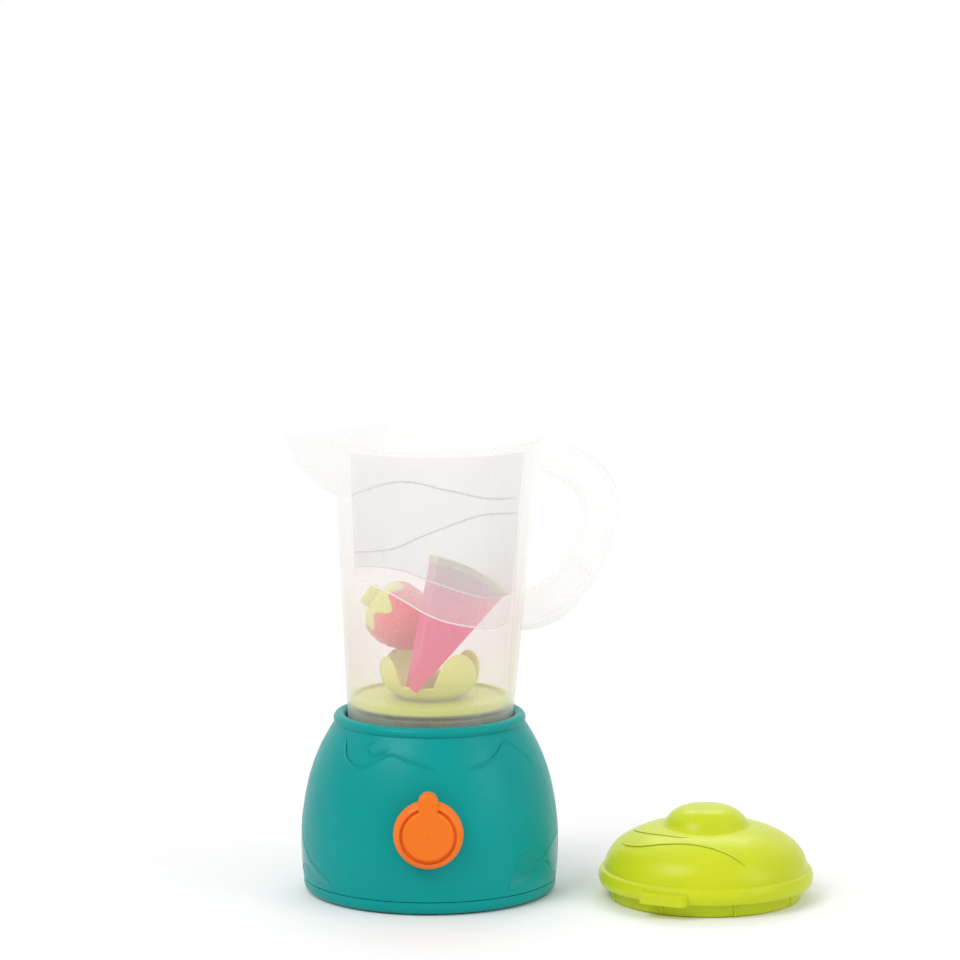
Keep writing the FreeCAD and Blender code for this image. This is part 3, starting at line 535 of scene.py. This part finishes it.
right_low = [(-52, 9), (-46, 11), (-38, 14), (-28, 19), (-18, 13), (-8, 9)]
right_high = [(-52, 11), (-48, 21), (-41, 26), (-33, 20), (-24, 24), (-8, 29)]
left_low = [(-190, 12), (-178, 9), (-168, 14), (-158, 15), (-149, 10), (-138, 9)]
left_high = [(-190, 30), (-178, 36), (-168, 26), (-158, 19), (-149, 15), (-138, 10)]
base_swell("base_swell_right", right_low, right_high, swell_thick)
base_swell("base_swell_left", left_low, left_high, swell_thick)
curl_left = [(-146, 77), (-141, 70), (-134, 66), (-126, 65), (-118, 69), (-110, 72), (-98, 69), (-86, 66)]
curl_right = [(-70, 66), (-60, 67), (-50, 71), (-42, 75), (-34, 71), (-26, 64)]
curl_small = [(-122, 77), (-127, 74), (-123, 71), (-115, 73), (-112, 76)]
for number, curl in enumerate([curl_left, curl_right, curl_small]):
    lay_ridge("base_curl_" + str(number), curl, base_wall, curl_width, curl_height, "base", "base")
print("swells are", swell_thick, "mm thick")

# %% Lines round the lid's dome
dome_line_a = [(-172, 40), (-150, 38), (-128, 33), (-108, 31), (-90, 33), (-76, 38), (-68, 44)]
dome_line_b = [(-196, 34), (-180, 32), (-160, 29), (-138, 26.5), (-112, 26)]
dome_line_c = [(20, 42), (42, 36), (66, 33), (92, 36), (112, 42)]
lid_line_width = 2.2
lid_line_height = 0.14
for number, line_spots in enumerate([dome_line_a, dome_line_b, dome_line_c]):
    lay_ridge("lid_line_" + str(number), line_spots, lid_dome, lid_line_width, lid_line_height,
              "lid", "lid")
print("lines on the lid:", number + 1)

# %% [markdown]
# ## The strawberry
# A real toy strawberry is a hollow heart-shaped shell with dimpled seeds, each a small pit in a raised
# ring. It could be sculpted, but then each seed would be placed by eye. Here a turned grid of points is
# pushed in and out near each seed, and the seeds follow a sunflower spiral so that no row shows.

# %% The berry's outline and place
berry_place = (Matrix.Translation((-13.2, 10.6, 127.2)) @ Matrix.Rotation(math.radians(-10), 4, "Z")
               @ Matrix.Rotation(math.radians(-55), 4, "Y"))
berry_outline = [(0.0, -20.7), (4.0, -19.4), (7.3, -16.4), (10.4, -11.8), (12.8, -7.2), (14.7, -2.6),
                 (15.3, 1.4), (15.0, 5.6), (13.2, 10.0), (9.6, 13.4), (5.2, 15.0), (0.0, 15.3)]
berry_line = smooth_path([(r, z, 0) for r, z in berry_outline], 10)
seed_count = 52
golden_turn = math.radians(137.5)


def berry_spot(share, turn, out=0.0):
    """A point of the berry at a share of its outline from the tip, lifted off the skin by out."""
    place = share * (len(berry_line) - 1)
    i = min(int(place), len(berry_line) - 2)
    spot = berry_line[i].lerp(berry_line[i + 1], place - i)
    way = (berry_line[i + 1] - berry_line[i]).normalized()
    r = max(spot.x + way.y * out, 0)
    return Vector((r * math.cos(turn), r * math.sin(turn), spot.y - way.x * out))


print("berry length:", round(berry_outline[-1][1] - berry_outline[0][1], 1), "mm")

# %% Seeds and skin
first_seed = 0.16        # shares of the outline where the seeds start, and how far they go on
seed_band = 0.58
pit_deep = 0.55
pit_wide = 0.95
ring_high = 0.22
ring_r = 1.75
ring_wide = 0.55
berry_rows = 110
berry_columns = 200
seeds = kdtree.KDTree(seed_count)
for number in range(seed_count):
    share = first_seed + seed_band * math.sqrt((number + 0.5) / seed_count)
    seeds.insert(berry_spot(share, number * golden_turn), number)
seeds.balance()


def seed_lift(spot):
    """A pit about a millimetre wide inside a raised ring."""
    near = seeds.find(spot)[2]
    pit = -pit_deep * math.exp(-(near / pit_wide) ** 2)
    ring_lift = ring_high * math.exp(-((near - ring_r) / ring_wide) ** 2)
    return pit + ring_lift


def round_grid(name, rows, columns, place_of, look, body, place):
    """A closed round piece whose first and last rows each shrink to one point."""
    points = [place_of(0, 0)]
    for row in range(1, rows - 1):
        for column in range(columns):
            points.append(place_of(row / (rows - 1), 2 * math.pi * column / columns))
    points.append(place_of(1, 0))
    faces = [(0, 1 + (c + 1) % columns, 1 + c) for c in range(columns)]
    for a, b, c, d in grid_faces(rows - 2, columns, False, True):
        faces.append((a + 1, b + 1, c + 1, d + 1))
    last = len(points) - 1
    start = last - columns
    faces += [(last, start + c, start + (c + 1) % columns) for c in range(columns)]
    return make_piece(name, [(place @ p) * MM for p in points], faces, look, body)


def berry_skin(share, turn):
    spot = berry_spot(share, turn)
    return berry_spot(share, turn, seed_lift(spot))


berry = round_grid("strawberry_dimpled", berry_rows, berry_columns, berry_skin, "berry", "strawberry",
                   berry_place)
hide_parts("strawberry_body")
print("berry seeds:", seed_count)

# %% [markdown]
# ## The strawberry's cap
# The leafy cap is a second moulding that droops over the berry's shoulder in soft lobes, with a stubby
# bar for a stalk. Leaves could be cut one by one, but the real cap is one skin. So the berry's own outline
# is used again, a little further out, and stops at a wavy edge.

# %% Cap
cap_edge = 0.70
cap_lobes = 7
cap_thick = 0.75


def cap_share(turn):
    wave = 0.055 * math.cos(cap_lobes * turn) + 0.02 * math.cos(3 * turn + 1.0)
    return cap_edge + wave


def cap_skin(share, turn):
    """Over the outside from the stalk to the wavy edge, round the edge, and back under."""
    edge = cap_share(turn)
    if share < 0.72:
        return berry_spot(1 - (1 - edge) * share / 0.72, turn, cap_thick)
    if share < 0.80:
        bend = (share - 0.72) / 0.08 * math.pi / 2
        return berry_spot(edge - 0.012 * math.sin(bend), turn, cap_thick * math.cos(bend) - 0.1)
    return berry_spot(edge + (1 - edge) * (share - 0.80) / 0.20, turn, -0.15)


cap_rows = 60
cap_columns = 168
cap = round_grid("strawberry_cap", cap_rows, cap_columns, cap_skin, "leaf", "strawberry",
                 berry_place)
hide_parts("strawberry_leaf")
print("lobes round the cap:", cap_lobes)

# %% Stalk
stalk_size = (11.0, 5.0, 5.4)
stalk_soft = 1.8
stalk_rise = 18.0        # of its middle over the berry's middle


def rounded_bar(name, size, soft, place, look, body):
    """A bar with soft edges, cut from a box and then rounded."""
    work = bmesh.new()
    bmesh.ops.create_cube(work, size=1.0)
    bmesh.ops.scale(work, vec=Vector(size), verts=work.verts)
    bmesh.ops.bevel(work, geom=list(work.edges), offset=soft, segments=5, profile=0.5, affect="EDGES")
    points = [(place @ v.co) * MM for v in work.verts]
    faces = [tuple(v.index for v in face.verts) for face in work.faces]
    work.free()
    return make_piece(name, points, faces, look, body)


stalk_place = berry_place @ Matrix.Translation((0, 0, stalk_rise))
rounded_bar("strawberry_stalk", stalk_size, stalk_soft, stalk_place, "leaf", "strawberry")
print("stalk length:", stalk_size[0], "mm")

# %% [markdown]
# ## The melon slice
# The slice is a flat wedge with softened edges, clipped under its rind. The frame's wedge has sharp
# edges, so the two pieces are drawn again from a fan of points and their edges rounded with a bevel. Its
# seeds are small raised drops inside a thin ring, on both faces.

# %% Wedge with soft edges
slice_place = Matrix.Translation((-9.6, -19.6, 95.6)) @ Matrix.Rotation(math.radians(21.0), 4, "Z")
slice_low = 45.0
slice_high = 78.5
slice_thick = 11.4
flesh_r = 62.8
slice_tip_r = 3.0
rind_r = 66.4
rind_proud = 0.6
rind_gap = 0.02
flesh_soft = 1.1
rind_soft = 0.9
fan_steps = 24


def soft_wedge(name, r0, r1, thick, low, high, soft, look):
    turns = [math.radians(low + (high - low) * i / fan_steps) for i in range(fan_steps + 1)]
    ring_points = [(r1 * math.cos(t), r1 * math.sin(t)) for t in turns]
    ring_points += [(r0 * math.cos(t), r0 * math.sin(t)) for t in reversed(turns)]
    work = bmesh.new()
    front = [work.verts.new((x, -thick / 2, z)) for x, z in ring_points]
    face = work.faces.new(front)
    grown = bmesh.ops.extrude_face_region(work, geom=[face])
    new_verts = [g for g in grown["geom"] if isinstance(g, bmesh.types.BMVert)]
    bmesh.ops.translate(work, vec=Vector((0, thick, 0)), verts=new_verts)
    bmesh.ops.recalc_face_normals(work, faces=work.faces)
    sharp = [e for e in work.edges if e.calc_face_angle(0) > math.radians(25)]
    bmesh.ops.bevel(work, geom=sharp, offset=soft, segments=4, profile=0.5, affect="EDGES",
                    clamp_overlap=True)
    work.verts.index_update()
    points = [(slice_place @ v.co) * MM for v in work.verts]
    faces = [tuple(v.index for v in f.verts) for f in work.faces]
    work.free()
    return make_piece(name, points, faces, look, "melon")


flesh = soft_wedge("melon_soft_flesh", slice_tip_r, flesh_r, slice_thick, slice_low, slice_high,
                   flesh_soft, "melon")
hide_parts("melon_flesh")
rind = soft_wedge("melon_soft_rind", flesh_r + rind_gap, rind_r, slice_thick + 2 * rind_proud,
                  slice_low - rind_proud, slice_high + rind_proud, rind_soft, "rind")
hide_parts("melon_rind")
print("slice radius:", rind_r, "mm")

# %% Seeds of the slice
seed_width = 0.85        # the drop's outline is drawn a little larger and flatter than the seed is
seed_height = 1.5
seed_stretch = 1.25
seed_point = 0.25
drop_outline = [(0.0, 0.34), (0.5, 0.26), (0.8, 0.0), (1.15, -0.05), (1.45, 0.2), (1.75, 0.2), (2.0, -0.1)]
drop_line = smooth_path([(r, up, 0) for r, up in drop_outline], 4)
melon_seeds = [(24, 62), (36, 55), (38, 70), (49, 52), (50, 63), (51, 74)]


def seed_drop(name, r, angle, side):
    turn = math.radians(angle)
    middle = Vector((r * math.cos(turn), side * slice_thick / 2, r * math.sin(turn)))
    outward = Vector((math.cos(turn), 0, math.sin(turn)))
    across = Vector((0, side, 0)).cross(outward)

    def spot_of(share, swing):
        place = share * (len(drop_line) - 1)
        i = min(int(place), len(drop_line) - 2)
        spot = drop_line[i].lerp(drop_line[i + 1], place - i)
        stretch = seed_stretch + seed_point * math.cos(swing)
        flat = outward * math.cos(swing) * stretch + across * math.sin(swing)
        return middle + flat * spot.x * seed_width + Vector((0, side * spot.y * seed_height, 0))

    columns = 28
    rows = len(drop_line)
    points = [spot_of(0, 0)]
    for row in range(1, rows):
        for column in range(columns):
            points.append(spot_of(row / (rows - 1), 2 * math.pi * column / columns))
    faces = [(0, 1 + c, 1 + (c + 1) % columns) for c in range(columns)]
    for a, b, c, d in grid_faces(rows - 1, columns, False, True):
        faces.append((a + 1, b + 1, c + 1, d + 1))
    faces.append(tuple(range(len(points) - columns, len(points))))
    return make_piece(name, [(slice_place @ p) * MM for p in points], faces, "melon", "melon")


for number, (r, angle) in enumerate(melon_seeds):
    seed_drop("melon_seed_front_" + str(number), r, angle, -1)
    seed_drop("melon_seed_back_" + str(number), r, angle, 1)
print("melon seeds on each face:", len(melon_seeds))

# %% [markdown]
# ## The cup of petals
# The spinning cup is a low bowl whose rim rises into four petals like a water lily. Four loose petals
# would need joining to the bowl. One closed surface needs no joins: the rim's height changes round the
# bowl, and the lip is rounded over.

# %% Bowl and petals, each petal its angle, height and half width
cup_foot_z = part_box("blade_cup")[0][2] / MM
cup_floor_z = cup_foot_z + 1.5
cup_wall_thick = 2.0
petal_list = [(-50, 20.4, 34), (130, 18.0, 34), (28, 18.0, 33), (204, 18.0, 31)]
gap_height = 5.5
bowl_outline = [(0.0, 15.0), (1.2, 18.0), (3.4, 20.6), (7.0, 22.6), (11.0, 23.5), (16.0, 23.2), (22.0, 21.2)]
bowl_line = smooth_path([(up, r, 0) for up, r in bowl_outline], 8)


def bowl_radius(up):
    for a, b in zip(bowl_line[:-1], bowl_line[1:]):
        if a.x <= up <= b.x:
            return a.y + (b.y - a.y) * (up - a.x) / (b.x - a.x)
    return bowl_line[-1].y


def rim_height(angle):
    best = gap_height
    for middle, high, half in petal_list:
        away = abs((angle - middle + 180) % 360 - 180) / half
        if away < 1:
            best = max(best, gap_height + (high - gap_height) * (1 - away ** 2.4) ** 0.75)
    return best


print("highest petal:", max(high for middle, high, half in petal_list), "mm")

# %% Petal cup
foot_end = 0.06          # shares of the rows where the foot, the outside, the lip and the inside end
outside_end = 0.46
lip_end = 0.54
inside_end = 0.90
cup_rows = 76
cup_columns = 288


def cup_point(share, turn):
    angle = math.degrees(turn)
    high = rim_height(angle)
    if share < foot_end:
        r = bowl_radius(0) * share / foot_end
        return Vector((r * math.cos(turn), r * math.sin(turn), cup_foot_z))
    if share < outside_end:
        up = high * (share - foot_end) / (outside_end - foot_end)
        r = bowl_radius(up)
    elif share < lip_end:
        bend = (share - outside_end) / (lip_end - outside_end) * math.pi
        up = high + cup_wall_thick / 2 * math.sin(bend)
        r = bowl_radius(high) - cup_wall_thick / 2 * (1 - math.cos(bend))
    elif share < inside_end:
        up = high * (inside_end - share) / (inside_end - lip_end)
        r = bowl_radius(up) - cup_wall_thick
    else:
        up = 0
        r = (bowl_radius(0) - cup_wall_thick) * (1 - share) / (1 - inside_end)
    return Vector((r * math.cos(turn), r * math.sin(turn), cup_floor_z + up))


cup = round_grid("petal_cup", cup_rows, cup_columns, cup_point, "lime_light", "spinner",
                 Matrix.Identity(4))
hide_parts("blade_cup")
print("cup foot height:", round(cup_foot_z, 1), "mm")

# %% Dome in the middle of the cup
dome_foot_share = 0.12
dome_rows = 44
dome_columns = 72
dome_line = smooth_path([(9.4, -1.0, 0), (8.9, 3.0, 0), (7.8, 7.4, 0), (5.0, 11.2, 0), (0.0, 12.4, 0)], 8)


def dome_point(share, turn):
    if share < dome_foot_share:
        r = dome_line[0].x * share / dome_foot_share
        return Vector((r * math.cos(turn), r * math.sin(turn), cup_floor_z + dome_line[0].y))
    place = (share - dome_foot_share) / (1 - dome_foot_share) * (len(dome_line) - 1)
    i = min(int(place), len(dome_line) - 2)
    spot = dome_line[i].lerp(dome_line[i + 1], place - i)
    return Vector((spot.x * math.cos(turn), spot.x * math.sin(turn), cup_floor_z + spot.y))


round_grid("cup_dome", dome_rows, dome_columns, dome_point, "lime_light", "spinner",
           Matrix.Identity(4))
print("dome height:", dome_line[-1].y, "mm")

# %% [markdown]
# ## Floor, light and camera
# The toy stands on a white floor with soft light from above and both sides, so its shadow is faint and
# close. A floor that shines would lose the shadow. This one takes it near the toy, and fades further off
# into the white that the camera sees all round.

# %% Floor
floor_size = 3.0
floor_grey = 0.97
floor_middle = (0.06, 0.0, 0.0)
fade_near = 0.10
fade_far = 0.34
floor_drop = -0.0004     # just under the toy's foot


def pale_floor():
    """Near the toy it takes the shadow, and further off it fades into the white round about."""
    material, tree, shader = new_material("pale_floor")
    shader.inputs["Base Color"].default_value = (floor_grey, floor_grey, floor_grey, 1)
    shader.inputs["Roughness"].default_value = 0.9
    shader.inputs["Specular IOR Level"].default_value = 0.0
    place = add(tree, "ShaderNodeTexCoord")
    far = add(tree, "ShaderNodeVectorMath", operation="DISTANCE")
    link(tree, place.outputs["Object"], far.inputs[0])
    far.inputs[1].default_value = floor_middle
    fade = spread(tree, far.outputs["Value"], 0.0, 1.0, fade_near, fade_far)
    clear = add(tree, "ShaderNodeBsdfTransparent")
    whole = add(tree, "ShaderNodeMixShader")
    link(tree, fade, whole.inputs[0])
    link(tree, shader.outputs[0], whole.inputs[1])
    link(tree, clear.outputs[0], whole.inputs[2])
    link(tree, whole.outputs[0], tree.nodes["Material Output"].inputs["Surface"])
    return material


bpy.ops.mesh.primitive_plane_add(size=floor_size, location=(0, 0, floor_drop))
floor = bpy.context.object
floor.name = "floor"
floor.data.materials.append(pale_floor())
print("floor fades from", fade_near, "to", fade_far, "m")

# %% World
world_light = 0.62       # what lights the toy
seen_white = 1.0         # what the camera, the gloss and the clear plastic see
world = bpy.data.worlds.new("studio")
scene.world = world
world.use_nodes = True
tree = world.node_tree
background = tree.nodes["Background"]
background.inputs["Strength"].default_value = world_light
background.inputs["Color"].default_value = (1, 1, 1, 1)
plain = add(tree, "ShaderNodeBackground")
plain.inputs["Strength"].default_value = seen_white
plain.inputs["Color"].default_value = (1, 1, 1, 1)
rays = add(tree, "ShaderNodeLightPath")
chooser = add(tree, "ShaderNodeMixShader")
seen = add(tree, "ShaderNodeMath", operation="MAXIMUM")
seen_more = add(tree, "ShaderNodeMath", operation="MAXIMUM")
link(tree, rays.outputs["Is Camera Ray"], seen.inputs[0])
link(tree, rays.outputs["Is Glossy Ray"], seen.inputs[1])
link(tree, seen.outputs[0], seen_more.inputs[0])
link(tree, rays.outputs["Is Transmission Ray"], seen_more.inputs[1])
link(tree, seen_more.outputs[0], chooser.inputs[0])
link(tree, background.outputs[0], chooser.inputs[1])
link(tree, plain.outputs[0], chooser.inputs[2])
link(tree, chooser.outputs[0], tree.nodes["World Output"].inputs["Surface"])
print("world light:", world_light)

# %% Lamps


def soft_lamp(name, place, aim, size, power):
    lamp = bpy.data.lights.new(name, "AREA")
    lamp.shape = "RECTANGLE"
    lamp.size, lamp.size_y = size
    lamp.energy = power
    holder = bpy.data.objects.new(name, lamp)
    scene.collection.objects.link(holder)
    holder.location = place
    holder.rotation_euler = (Vector(aim) - Vector(place)).to_track_quat("-Z", "Y").to_euler()
    return holder


toy_middle = (0.03, 0.0, 0.10)
soft_lamp("key", (-0.9, -0.9, 1.5), toy_middle, (1.0, 1.0), 14.0)
soft_lamp("fill", (1.3, -0.7, 0.8), toy_middle, (0.7, 1.2), 5.0)
soft_lamp("back", (0.1, 1.2, 1.3), toy_middle, (1.2, 0.6), 6.0)
print("lamps:", len(bpy.data.lights))

# %% [markdown]
# ## Camera
# A camera could be moved by eye until the picture fits. Here the outlines of the base, the jug's rim and
# the lid were used to work back to where it stood: about two metres away, half a metre up and tilted a
# little down.

# %% Camera
picture_size = 960
focal_pixels = 4700.0
sensor_mm = 36.0
camera_tilt = math.radians(8.3)
camera_away = 2.1719
camera_height = 0.5111
camera_side = 0.0237
lens = bpy.data.cameras.new("camera")
lens.sensor_width = sensor_mm
lens.lens = focal_pixels / picture_size * sensor_mm
lens.clip_start = 0.05
camera = bpy.data.objects.new("camera", lens)
scene.collection.objects.link(camera)
camera.location = (camera_side, -camera_away, camera_height)
camera.rotation_euler = (math.pi / 2 - camera_tilt, 0, 0)
scene.camera = camera
scene.view_settings.view_transform = "Standard"
print("lens:", round(lens.lens, 1), "mm")
